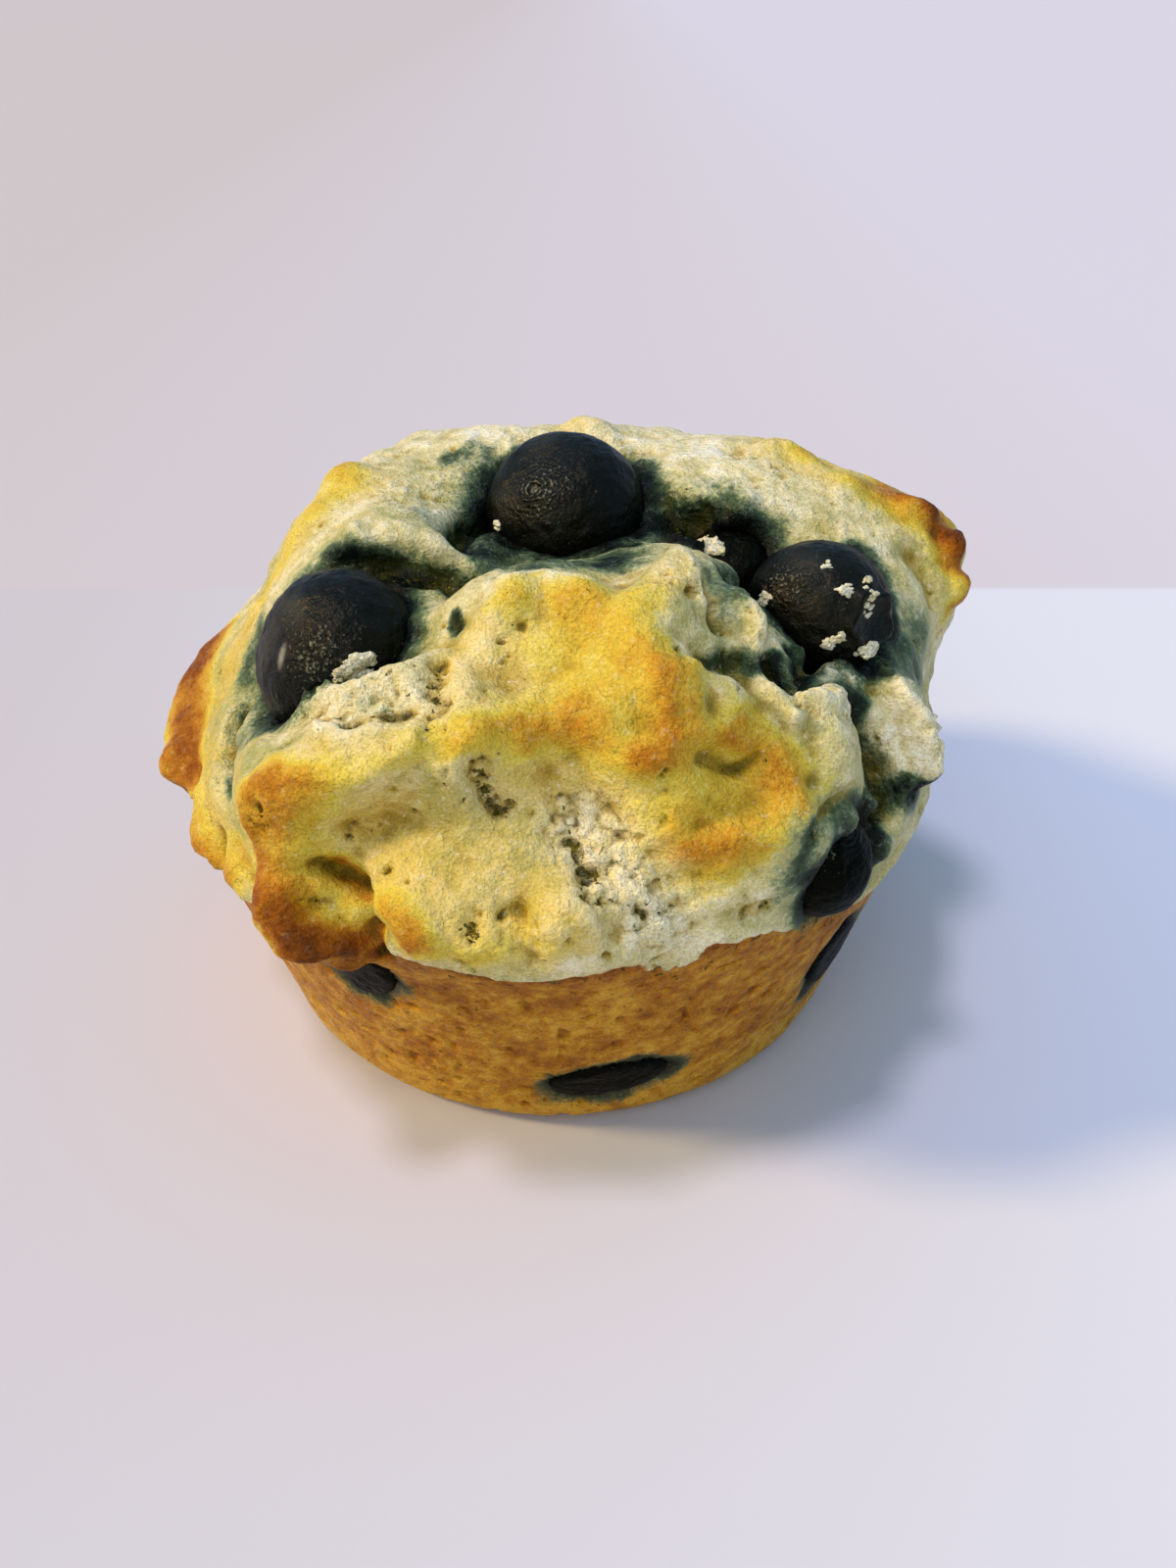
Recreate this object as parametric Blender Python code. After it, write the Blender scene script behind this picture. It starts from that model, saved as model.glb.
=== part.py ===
"""A berry muffin baked without a paper case: a tin-shaped cup of crumb under a lumpy, split crown.

The muffin is one solid with a socket for each berry that shows, and each of those berries is a
solid of its own. Lengths below are millimetres, angles degrees. +Z is up, the origin is the centre
of the flat foot, and the side with the golden ridges faces -Y.
"""

import math

import bmesh
import bpy
import numpy as np
from mathutils import Euler, Matrix, Vector

MM = 0.001

# The cup, as the tin shaped it
FOOT_RADIUS = 25.4
FOOT_ROUNDING = 1.3
RIM_RADIUS = 32.2
RIM_HEIGHT = 24.6
WALL_RINGS = 5

# The crown above it, a superellipse before its lumps
CROWN_RISE = 19.9
CROWN_FULLNESS = 2.4
CROWN_RINGS = 21
SEGMENTS = 76

# A berry and its socket
SOCKET_GAP = 0.3
BERRY_SEGMENTS = 16
BERRY_RINGS = 10
SCAR_DEPTH = 0.12  # of the berry's half height
SCAR_WIDTH = 0.45  # of its radius

# What the baking did to the crown, each as (from, to, reach, rise). From and to are addresses on the
# crown: an azimuth, and 0 at the rim to 1 at the top. Reach is how far the stroke fades out on either
# side of the line between them, and a negative rise is a hollow.
CROWN_STROKES = [
    # the batter ran to one side, so the crown leans to +X
    ((14, 0.44), (24, 0.56), 17.0, 2.2),
    ((3, 0.30), (9, 0.32), 9.5, 2.2),
    ((150, 0.30), (-156, 0.28), 14.0, -3.8),
    ((70, 0.70), (110, 0.76), 9.0, 1.2),
    ((138, 0.72), (154, 0.66), 7.0, 1.0),
    # the knob that browned first, at the edge of that side
    ((5, 0.30), (9, 0.33), 4.6, 2.0),
    ((30, 0.62), (14, 0.50), 6.5, 0.8),
    # the bowl that the crown berry settled in, and the trough from it to the tucked one
    ((-95, 0.97), (-85, 0.97), 12.5, -4.8),
    ((-18, 0.84), (-22, 0.72), 5.5, -2.6),
    # the bowl of the tucked berry and the right one
    ((-18, 0.66), (-36, 0.50), 7.5, -2.8),
    # the middle mass, with its golden ridges and the hollow between them
    ((-98, 0.68), (-70, 0.54), 7.0, 2.0),
    ((-98, 0.42), (-80, 0.46), 6.5, 1.5),
    ((-74, 0.42), (-76, 0.34), 5.5, 1.4),
    ((-70, 0.24), (-60, 0.14), 6.0, 1.9),
    ((-56, 0.32), (-57, 0.20), 5.0, 1.8),
    ((-64, 0.43), (-66, 0.40), 4.5, 0.9),
    ((-67, 0.29), (-66, 0.26), 4.0, -1.3),
    ((-90, 0.30), (-84, 0.24), 6.0, -0.9),
    # the tongue beside the tucked berry, and the rim of the right berry's bowl
    ((-66, 0.62), (-53, 0.69), 4.2, 2.4),
    ((-53, 0.56), (-51, 0.42), 3.4, 1.4),
    ((-50, 0.32), (-40, 0.28), 4.0, 1.6),
    # the low lump at the front, swollen over the rim
    ((-110, 0.05), (-88, 0.05), 6.4, 2.2),
    ((-111, 0.10), (-106, 0.09), 4.2, 1.0),
    ((-80, 0.03), (-66, 0.02), 4.6, 0.9),
    # the rolled lobe at the left, its flat middle and its browned tip
    ((-101, 0.38), (-114, 0.34), 4.8, 2.0),
    ((-114, 0.34), (-125, 0.22), 5.0, 2.4),
    ((-125, 0.22), (-123, 0.06), 5.0, 2.0),
    ((-119, 0.00), (-114, -0.05), 3.8, 2.4),
    ((-110, 0.22), (-112, 0.17), 5.0, -1.2),
    ((-113, 0.11), (-112, 0.00), 3.2, -1.8),
    # the skin that folds round the left edge
    ((-152, 0.14), (-140, 0.12), 5.0, 0.6),
    ((168, 0.03), (-172, 0.02), 3.6, 1.0),
    ((-139, 0.00), (-135, -0.02), 2.6, 0.8),
    # the left shoulder and its yellow top
    ((168, 0.66), (178, 0.58), 6.0, 1.6),
    ((-160, 0.78), (-150, 0.74), 5.0, 1.0),
    # the bowl of the left berry, and the trough from it to the crown berry
    ((-142, 0.42), (-126, 0.54), 8.0, -2.5),
    ((-140, 0.62), (-118, 0.76), 4.6, -2.2),
    ((-118, 0.76), (-110, 0.86), 3.6, -1.0),
    # the ledge under the left berry
    ((-122, 0.42), (-108, 0.48), 4.2, 1.4),
    # the split down the right side and the torn ridge beyond it
    ((-40, 0.28), (-43, 0.10), 3.2, -2.0),
    ((-31, 0.26), (-36, 0.10), 3.6, 1.0),
    ((-24, 0.12), (-6, 0.12), 7.5, -1.4),
    # the far side, rolling lumps like the near one
    ((70, 0.40), (88, 0.34), 8.0, 2.2),
    ((112, 0.42), (124, 0.50), 7.0, 2.0),
    ((52, 0.12), (74, 0.10), 6.0, 1.8),
    ((98, 0.10), (118, 0.08), 6.0, 2.0),
    ((134, 0.10), (150, 0.08), 5.0, 1.4),
    ((92, 0.24), (104, 0.20), 3.6, -1.4),
    ((56, 0.30), (60, 0.24), 3.8, -1.4),
]

# The berries: centre, half sizes along their own axes (the last is the scar's), and turn
CROWN_BERRIES = {
    "berry_crown": ((0.7, 2.5, 41.2), (6.5, 6.5, 5.9), (20, -16, 0)),
    "berry_left": ((-15.2, -15.0, 37.3), (6.5, 6.0, 5.5), (42, -48, -20)),
    "berry_right": ((19.5, -10.0, 38.5), (5.1, 5.6, 5.0), (-25, 58, 20)),
    "berry_tucked": ((14.0, -1.2, 37.3), (3.9, 4.0, 3.7), (30, -10, 0)),
    "berry_rim": ((18.6, -23.6, 25.9), (3.8, 4.2, 4.2), (60, 0, 40)),
}
# Those that lay against the tin, cut flush with the wall: azimuth, height, how deep the centre
# lies inside the wall, half sizes (round, up, in), and roll about the wall's normal
WALL_BERRIES = {
    "berry_foot": (-81.0, 6.4, 1.6, (4.9, 2.4, 3.6), 8.0),
    "berry_lip": (-116.5, 18.0, 1.8, (2.6, 3.4, 3.4), -24.0),
    "berry_flank": (-38.0, 11.5, 1.6, (3.0, 4.4, 3.6), 10.0),
    "berry_heel": (68.0, 9.5, 1.7, (4.6, 3.4, 3.6), -14.0),
    "berry_back": (142.0, 16.0, 1.6, (3.4, 4.2, 3.6), 20.0),
}

# Finish of each: base colour, roughness
CRUST = ((0.62, 0.36, 0.09), 0.55)
BERRY_SKIN = ((0.012, 0.014, 0.022), 0.35)


def clear_scene():
    for obj in list(bpy.data.objects):
        bpy.data.objects.remove(obj)


def material(name, colour, roughness):
    made = bpy.data.materials.new(name)
    made.use_nodes = True
    shader = made.node_tree.nodes["Principled BSDF"]
    shader.inputs["Base Color"].default_value = (*colour, 1)
    shader.inputs["Roughness"].default_value = roughness
    shader.inputs["Metallic"].default_value = 0.0
    return made


def wall_radius(height):
    return FOOT_RADIUS + (RIM_RADIUS - FOOT_RADIUS) * height / RIM_HEIGHT


def crown_profile(rise):
    """(radius, height) on the crown's outline, from 0 at the rim to 1 at the top. Below 0 it is the wall."""
    if rise < 0:
        height = RIM_HEIGHT * (1 + rise)
        return wall_radius(height), height
    angle = min(rise, 1.0) * math.pi / 2
    power = 2 / CROWN_FULLNESS
    radius = RIM_RADIUS * max(math.cos(angle), 0.0) ** power
    return radius, RIM_HEIGHT + CROWN_RISE * math.sin(angle) ** power


def crown_point(azimuth, rise):
    radius, height = crown_profile(rise)
    turn = math.radians(azimuth)
    return np.array([radius * math.cos(turn), radius * math.sin(turn), height])


def outline():
    """The muffin's half outline from the middle of the foot up to the top, as (radius, height)."""
    points = [(0.0, 0.0)]
    for step in range(3):
        turn = math.radians(90 * step / 2)
        inset = FOOT_ROUNDING * (1 - math.sin(turn))
        lift = FOOT_ROUNDING * (1 - math.cos(turn))
        points.append((wall_radius(lift) - inset, lift))
    for step in range(1, WALL_RINGS + 1):
        height = FOOT_ROUNDING + (RIM_HEIGHT - FOOT_ROUNDING) * step / WALL_RINGS
        points.append((wall_radius(height), height))
    points += [crown_profile(step / CROWN_RINGS) for step in range(1, CROWN_RINGS)]
    points.append((0.0, RIM_HEIGHT + CROWN_RISE))
    return points


def turned_mesh(points):
    """The outline turned once about Z, closed at both ends, still in millimetres."""
    mesh = bpy.data.meshes.new("turned")
    shape = bmesh.new()
    chain = [shape.verts.new((radius, 0, height)) for radius, height in points]
    edges = [shape.edges.new(pair) for pair in zip(chain, chain[1:])]
    bmesh.ops.spin(
        shape, geom=chain + edges, cent=(0, 0, 0), axis=(0, 0, 1), angle=math.tau, steps=SEGMENTS
    )
    bmesh.ops.remove_doubles(shape, verts=shape.verts, dist=0.01)
    bmesh.ops.recalc_face_normals(shape, faces=shape.faces)
    shape.to_mesh(mesh)
    shape.free()
    return mesh


def distance_to_segment(points, start, end):
    along = end - start
    length = along @ along
    share = np.clip((points - start) @ along / length, 0, 1) if length else np.zeros(len(points))
    return np.linalg.norm(points - start - share[:, None] * along, axis=1)


def baked(mesh):
    """Raises the crown's lumps and sinks its hollows, along the normals of the plain shape."""
    places = np.array([vertex.co for vertex in mesh.vertices])
    normals = np.array([vertex.normal for vertex in mesh.vertices])
    moved = places.copy()
    for start, end, reach, rise in CROWN_STROKES:
        away = distance_to_segment(places, crown_point(*start), crown_point(*end)) / reach
        weight = np.where(away < 1, (1 - away**2) ** 2, 0)
        moved += normals * (rise * weight)[:, None]
    moved[places[:, 2] < FOOT_ROUNDING] = places[places[:, 2] < FOOT_ROUNDING]
    mesh.vertices.foreach_set("co", moved.ravel())
    mesh.update()
    return mesh


def berry_mesh(half_sizes, turn, grow=0.0):
    """A berry about the origin in millimetres, with the hollow of its scar at the top of its own axis."""
    mesh = bpy.data.meshes.new("berry")
    shape = bmesh.new()
    bmesh.ops.create_uvsphere(
        shape, u_segments=BERRY_SEGMENTS, v_segments=BERRY_RINGS, radius=1.0
    )
    for vertex in shape.verts:
        off_axis = math.hypot(vertex.co.x, vertex.co.y) / SCAR_WIDTH
        if vertex.co.z > 0 and off_axis < 1 and not grow:
            vertex.co.z -= SCAR_DEPTH * (1 - off_axis**2)
        for axis in range(3):
            vertex.co[axis] *= half_sizes[axis] + grow
    bmesh.ops.transform(shape, matrix=turn.to_4x4(), verts=shape.verts)
    shape.to_mesh(mesh)
    shape.free()
    return mesh


def placed(name, mesh, centre=(0, 0, 0)):
    """An object of that mesh, brought from millimetres to metres, at its centre."""
    mesh.transform(Matrix.Scale(MM, 4))
    obj = bpy.data.objects.new(name, mesh)
    obj.location = Vector(centre) * MM
    bpy.context.scene.collection.objects.link(obj)
    return obj


def helper(obj):
    obj.hide_render = True
    obj.display_type = "WIRE"
    return obj


def boolean(obj, other, operation):
    cut = obj.modifiers.new(f"{operation.lower()} {other.name}", "BOOLEAN")
    cut.object = other
    cut.operation = operation
    cut.solver = "EXACT"


def finished(obj, finish):
    obj.data.materials.append(finish)
    obj.data.shade_smooth()
    return obj


def wall_place(azimuth, height, depth):
    """The point that lies that deep inside the wall, and the turn whose Z axis is the wall's normal there."""
    turn = math.radians(azimuth)
    lean = math.atan2(RIM_RADIUS - FOOT_RADIUS, RIM_HEIGHT)
    normal = Vector((math.cos(turn) * math.cos(lean), math.sin(turn) * math.cos(lean), -math.sin(lean)))
    around = Vector((-math.sin(turn), math.cos(turn), 0))
    upwards = normal.cross(around)
    surface = Vector((math.cos(turn), math.sin(turn), 0)) * wall_radius(height)
    surface.z = height
    return surface - normal * depth, Matrix((around, upwards, normal)).transposed()


def berry_places():
    """(name, centre, half sizes, turn, whether the wall cuts it) of every berry."""
    for name, (centre, half_sizes, degrees) in CROWN_BERRIES.items():
        turn = Euler([math.radians(angle) for angle in degrees]).to_matrix()
        yield name, centre, half_sizes, turn, False
    for name, (azimuth, height, depth, half_sizes, roll) in WALL_BERRIES.items():
        centre, turn = wall_place(azimuth, height, depth)
        turn = turn @ Matrix.Rotation(math.radians(roll), 3, "Z")
        yield name, centre, half_sizes, turn, True


def build():
    clear_scene()
    crust = material("crust", *CRUST)
    skin = material("berry_skin", *BERRY_SKIN)
    blank = helper(placed("blank", baked(turned_mesh(outline()))))
    muffin = placed("muffin", baked(turned_mesh(outline())))
    for name, centre, half_sizes, turn, flush in berry_places():
        berry = placed(name, berry_mesh(half_sizes, turn), centre)
        if flush:
            boolean(berry, blank, "INTERSECT")
        finished(berry, skin)
        socket = placed(f"{name}_socket", berry_mesh(half_sizes, turn, grow=SOCKET_GAP), centre)
        boolean(muffin, helper(socket), "DIFFERENCE")
    finished(muffin, crust)


build()
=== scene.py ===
"""The looks of a blueberry muffin, dressed over its solids.

Shapes are worked in millimetres and brought to metres when a piece is finished. A place on the crown
is an address, as it is for the solids: an azimuth in degrees, and 0 at the rim to 1 at the top.
Below 0 the address is on the wall, down to -1 at the foot.
"""

import math

import bmesh
import bpy
import numpy as np
from mathutils import Matrix, Vector, noise
from mathutils.bvhtree import BVHTree


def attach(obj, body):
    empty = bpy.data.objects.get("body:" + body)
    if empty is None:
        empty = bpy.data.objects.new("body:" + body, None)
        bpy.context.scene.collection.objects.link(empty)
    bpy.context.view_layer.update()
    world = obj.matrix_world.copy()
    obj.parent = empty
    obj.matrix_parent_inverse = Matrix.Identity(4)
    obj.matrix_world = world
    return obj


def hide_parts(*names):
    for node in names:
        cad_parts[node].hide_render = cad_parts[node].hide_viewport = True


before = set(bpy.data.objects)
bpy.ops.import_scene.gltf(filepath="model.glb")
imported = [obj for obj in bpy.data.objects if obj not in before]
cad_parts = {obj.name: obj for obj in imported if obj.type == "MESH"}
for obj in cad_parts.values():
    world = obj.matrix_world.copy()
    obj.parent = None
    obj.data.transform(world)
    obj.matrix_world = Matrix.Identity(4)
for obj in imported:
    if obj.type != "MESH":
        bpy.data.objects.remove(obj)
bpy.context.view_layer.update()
SEED = 5
noise.seed_set(SEED)

MM = 0.001

# The solids' plain outline, in millimetres
FOOT_RADIUS = 25.4
RIM_RADIUS = 32.2
RIM_HEIGHT = 24.6
CROWN_RISE = 19.9
CROWN_FULLNESS = 2.4

# How finely the crumb is meshed for its folds and then for its tears, and the berries, in millimetres
FOLDING_VOXEL = 0.5
TEARING_VOXEL = 0.33
BERRY_VOXEL = 0.2
MOST_TRIANGLES = 196000

# How far from a berry the crumb is worked for it, and a distance past all that is drawn
BERRY_REACH = 5.0
FAR_OFF = 9.0


# ------------------------------ camera, floor and light

CAMERA_TARGET = Vector((2.6, 0, 16.0))
CAMERA_DISTANCE = 111.0
CAMERA_ELEVATION = math.radians(34.5)


def add_camera():
    """A camera in front of the muffin, looking down on it."""
    data = bpy.data.cameras.new("camera")
    data.lens = 28
    data.sensor_width = 36
    data.clip_start = 0.005
    data.clip_end = 20
    camera = bpy.data.objects.new("camera", data)
    bpy.context.scene.collection.objects.link(camera)
    forward = Vector((0, math.cos(CAMERA_ELEVATION), -math.sin(CAMERA_ELEVATION)))
    camera.location = (CAMERA_TARGET - forward * CAMERA_DISTANCE) * MM
    camera.rotation_euler = forward.to_track_quat("-Z", "Y").to_euler()
    bpy.context.scene.camera = camera


def linear(hex_colour):
    """An sRGB hex colour as linear RGBA."""
    parts = [int(hex_colour[i : i + 2], 16) / 255 for i in (1, 3, 5)]
    return [p / 12.92 if p <= 0.04045 else ((p + 0.055) / 1.055) ** 2.4 for p in parts] + [1]


def add_sun(name, direction, strength, spread, colour):
    """A far soft lamp, shining from that direction, as many degrees wide as its spread."""
    data = bpy.data.lights.new(name, "SUN")
    data.energy = strength
    data.angle = math.radians(spread)
    data.color = linear(colour)[:3]
    lamp = bpy.data.objects.new(name, data)
    bpy.context.scene.collection.objects.link(lamp)
    lamp.rotation_euler = (-Vector(direction)).to_track_quat("-Z", "Y").to_euler()


def add_light():
    """Warm light low from the left, cooler light from above, a soft glow from the front and a blue room."""
    add_sun("window", (-1.35, -0.13, 1.0), 1.75, 9, "#ffe0a2")
    add_sun("ceiling", (-0.24, -0.12, 1.0), 1.00, 9, "#ebe4ff")
    add_sun("bounce", (-0.30, -1.0, 0.62), 0.62, 56, "#fff2dc")
    world = bpy.data.worlds.new("room")
    world.use_nodes = True
    background = world.node_tree.nodes["Background"]
    background.inputs["Color"].default_value = linear("#b6d8ff")
    background.inputs["Strength"].default_value = 0.56
    bpy.context.scene.world = world
    view = bpy.context.scene.view_settings
    view.view_transform = "Standard"
    view.look = "Medium High Contrast"


# ------------------------------ materials


class Finish:
    """A node material under construction."""

    def __init__(self, name):
        self.material = bpy.data.materials.new(name)
        self.material.use_nodes = True
        self.tree = self.material.node_tree
        self.shader = self.tree.nodes["Principled BSDF"]
        self.places = self.add("ShaderNodeTexCoord", out="Object")

    def feed(self, node, inputs):
        """Gives inputs their values: numbers, sRGB hex colours, or outputs of other nodes."""
        for key, value in inputs.items():
            if isinstance(value, bpy.types.NodeSocket):
                self.tree.links.new(value, node.inputs[key])
            else:
                node.inputs[key].default_value = linear(value) if isinstance(value, str) else value

    def add(self, kind, inputs=None, out=0, stops=(), **settings):
        """Adds a node with its settings, inputs and colour stops, and gives one of its outputs."""
        node = self.tree.nodes.new(kind)
        for key, value in settings.items():
            setattr(node, key, value)
        self.feed(node, inputs or {})
        for i, (place, colour) in enumerate(stops):
            steps = node.color_ramp.elements
            step = steps[i] if i < len(steps) else steps.new(place)
            step.position = place
            step.color = linear(colour)
        return node.outputs[out]


MATH, MIX, SPREAD, RAMP = "ShaderNodeMath", "ShaderNodeMix", "ShaderNodeMapRange", "ShaderNodeValToRGB"
NOISE, BUMP, PAINTED = "ShaderNodeTexNoise", "ShaderNodeBump", "ShaderNodeAttribute"

# Settings: of sums, of a mix of colours, which gives its third output, and of a spread with soft ends
PLUS, TIMES, TIMES_PLUS = {"operation": "ADD"}, {"operation": "MULTIPLY"}, {"operation": "MULTIPLY_ADD"}
COLOURS = {"out": 2, "data_type": "RGBA"}
DARKENED = {"out": 2, "data_type": "RGBA", "blend_type": "MULTIPLY"}
SOFTLY = {"interpolation_type": "SMOOTHSTEP"}

# Inputs by number: of a mix of colours, and of a spread from one range to another, each 0 to 1 if not given
SHARE, UNDER, OVER = 0, 6, 7
VALUE, LOW, HIGH, AT_LOW, AT_HIGH = range(5)


def per(size):
    """The scale at which a pattern's features are size millimetres across."""
    return 1 / (size * MM)


def baked_crumb():
    """Baked muffin crumb: a moist, open, pale sponge with a thin crust. It browned where it stood proud, is
    stained where the berries' juice ran, and is white and floury where it tore."""
    f = Finish("baked_crumb")
    browned, juice, torn, open_, wall, yolk, cream, hollow = (
        f.add(PAINTED, out="Fac", attribute_name=name)
        for name in ("browned", "juice", "torn", "open", "wall", "yolk", "cream", "hollow")
    )
    # mottling of 1.1 mm, crumbs of 0.42 mm and grains of 0.2 mm
    small, crumbs, grains = (
        f.add(NOISE, {"Vector": f.places, "Scale": per(size), "Detail": detail, "Roughness": 0.6}, "Fac")
        for size, detail in ((1.1, 4), (0.42, 4), (0.2, 2))
    )
    ragged = f.add(NOISE, {"Vector": f.places, "Scale": per(0.6), "Detail": 5, "Roughness": 0.62}, "Fac")
    # the pale sponge, from grey green to cream, and yellow where egg and sugar gathered
    pale = f.add(MATH, {0: small, 1: 0.7, 2: cream}, **TIMES_PLUS)
    pale = f.add(
        RAMP,
        {"Fac": pale},
        stops=((0.40, "#abab68"), (0.58, "#cdc389"), (0.76, "#eee2b2"), (0.95, "#fff9de")),
    )
    egg = f.add(MATH, {0: yolk, 1: 0.75}, **TIMES)
    pale = f.add(MIX, {SHARE: egg, UNDER: pale, OVER: "#ecc84c"}, **COLOURS)
    # browning: yellow, then gold, then orange brown at the tips
    patch = f.add(MATH, {0: browned, 1: 0.8}, **TIMES)
    patch = f.add(MATH, {0: crumbs, 1: 0.24, 2: patch}, **TIMES_PLUS)
    toast = f.add(
        RAMP,
        {"Fac": patch},
        stops=(
            (0.19, "#ecdc7c"),
            (0.32, "#e8d35c"),
            (0.48, "#dfc148"),
            (0.61, "#d3a534"),
            (0.72, "#c0831e"),
            (0.85, "#98560a"),
            (1.0, "#542a04"),
        ),
    )
    crusted = f.add(SPREAD, {VALUE: patch, LOW: 0.16, HIGH: 0.48}, **SOFTLY)
    crown = f.add(MIX, {SHARE: crusted, UNDER: pale, OVER: toast}, **COLOURS)
    # the wall, browned all over against the tin
    mottle = f.add(MATH, {0: small, 1: 0.8, 2: cream}, **TIMES_PLUS)
    side = f.add(
        RAMP,
        {"Fac": mottle},
        stops=((0.44, "#84480a"), (0.58, "#a2650c"), (0.72, "#bc8018"), (0.90, "#d9a636")),
    )
    colour = f.add(MIX, {SHARE: wall, UNDER: crown, OVER: side}, **COLOURS)
    # torn crumb, floury white
    white = f.add(RAMP, {"Fac": small}, stops=((0.30, "#f0da94"), (0.55, "#fff4cc")))
    whitened = f.add(MATH, {0: torn, 1: 0.85}, **TIMES)
    colour = f.add(MIX, {SHARE: whitened, UNDER: colour, OVER: white}, **COLOURS)
    # juice, from a grey green tinge to a green black soak, with pale grains standing out of it
    soak = f.add(MATH, {0: crumbs, 1: -0.55, 2: juice}, **TIMES_PLUS)
    soak = f.add(MATH, {0: soak, 1: 0.275}, **PLUS)
    stain = f.add(
        RAMP,
        {"Fac": soak},
        stops=((0.05, "#bcbf8c"), (0.28, "#8f9b70"), (0.50, "#57684a"), (0.72, "#26362a"), (1.0, "#08110d")),
    )
    baked_in = f.add(MATH, {0: wall, 1: 0.6}, **TIMES)
    stain = f.add(MIX, {SHARE: baked_in, UNDER: stain, OVER: "#2e2208"}, **COLOURS)
    soaked = f.add(SPREAD, {VALUE: soak, LOW: 0.04, HIGH: 0.45}, **SOFTLY)
    reached = f.add(SPREAD, {VALUE: juice, LOW: 0.0, HIGH: 0.12}, **SOFTLY)
    soaked = f.add(MATH, {0: soaked, 1: reached}, **TIMES)
    colour = f.add(MIX, {SHARE: soaked, UNDER: colour, OVER: stain}, **COLOURS)
    # what lies deep is coloured yellower, then darker, as painted shade, and what stands proud catches flour
    # and a painted highlight
    painted_shade_most = f.add(SPREAD, {VALUE: torn, AT_LOW: 0.9, AT_HIGH: 0.45})
    painted_shade = f.add(SPREAD, {VALUE: hollow, LOW: -0.05, HIGH: 0.45, AT_HIGH: painted_shade_most}, **SOFTLY)
    colour = f.add(MIX, {SHARE: painted_shade, UNDER: colour, OVER: "#e2cf8a"}, **DARKENED)
    painted_dark_shade = f.add(SPREAD, {VALUE: hollow, LOW: 0.10, HIGH: 0.9, AT_HIGH: 0.75}, **SOFTLY)
    colour = f.add(MIX, {SHARE: painted_dark_shade, UNDER: colour, OVER: "#434010"}, **COLOURS)
    proud = f.add(SPREAD, {VALUE: hollow, LOW: -0.15, HIGH: -0.8, AT_HIGH: 0.35}, **SOFTLY)
    other = f.add(MATH, {0: browned, 1: wall}, **PLUS)
    other = f.add(MATH, {0: other, 1: juice}, **PLUS)
    bare = f.add(MATH, {0: other, 1: -2.6, 2: 1.0}, use_clamp=True, **TIMES_PLUS)
    # flour and painted highlight: bare crumb that stands proud is drawn near white
    flour_and_highlight = f.add(MATH, {0: proud, 1: bare}, **TIMES)
    colour = f.add(MIX, {SHARE: flour_and_highlight, UNDER: colour, OVER: "#faf2d2"}, **COLOURS)
    # pale flecks of sugar and flour, painted bright as glints of the moist crust, and fewer where it browned
    # or the juice ran
    flecks_and_glints = f.add(NOISE, {"Vector": f.places, "Scale": per(0.5), "Detail": 4, "Roughness": 0.7}, "Fac")
    shown = f.add(SPREAD, {VALUE: other, LOW: 0.1, HIGH: 0.9, AT_LOW: 0.5, AT_HIGH: 0.10})
    flecks_and_glints = f.add(SPREAD, {VALUE: flecks_and_glints, LOW: 0.57, HIGH: 0.72, AT_HIGH: shown})
    colour = f.add(MIX, {SHARE: flecks_and_glints, UNDER: colour, OVER: "#fff8da"}, **COLOURS)
    # ragged holes where the crumb is open, coloured dark olive as painted shade inside them
    gaps = f.add(MATH, {0: open_, 1: 0.20, 2: ragged}, **TIMES_PLUS)
    gaps = f.add(SPREAD, {VALUE: gaps, LOW: 0.69, HIGH: 0.76}, **SOFTLY)
    colour = f.add(MIX, {SHARE: gaps, UNDER: colour, OVER: "#6c6420"}, **COLOURS)
    # the grains' own light and dark
    speck = f.add(RAMP, {"Fac": grains}, stops=((0.32, "#d8d8d8"), (0.60, "#ffffff")))
    colour = f.add(MIX, {SHARE: 0.8, UNDER: colour, OVER: speck}, **DARKENED)
    # relief too fine for the mesh: grains, crumbs and holes, over softer lumps that are rougher where it tore
    height = f.add(MATH, {0: grains, 1: 0.40}, **TIMES)
    height = f.add(MATH, {0: crumbs, 1: 0.35, 2: height}, **TIMES_PLUS)
    height = f.add(MATH, {0: gaps, 1: -0.9, 2: height}, **TIMES_PLUS)
    rough = f.add(MATH, {0: small, 1: f.add(SPREAD, {VALUE: torn, AT_LOW: 1.0, AT_HIGH: 2.0})}, **TIMES)
    fine = f.add(BUMP, {"Height": height, "Strength": 1, "Distance": 0.26 * MM}, "Normal")
    normal = f.add(BUMP, {"Height": rough, "Strength": 1, "Distance": 0.45 * MM, "Normal": fine}, "Normal")
    f.feed(
        f.shader,
        {
            "Base Color": colour,
            "Normal": normal,
            "Roughness": f.add(SPREAD, {VALUE: crumbs, LOW: 0.38, HIGH: 0.62, AT_LOW: 0.28, AT_HIGH: 0.62}),
            "Specular IOR Level": 0.24,
            "Specular Tint": "#fff2d6",
            "Subsurface Weight": 0.15,
            "Subsurface Radius": (1.0, 0.65, 0.25),
            "Subsurface Scale": 0.8 * MM,
        },
    )
    return f.material


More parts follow.
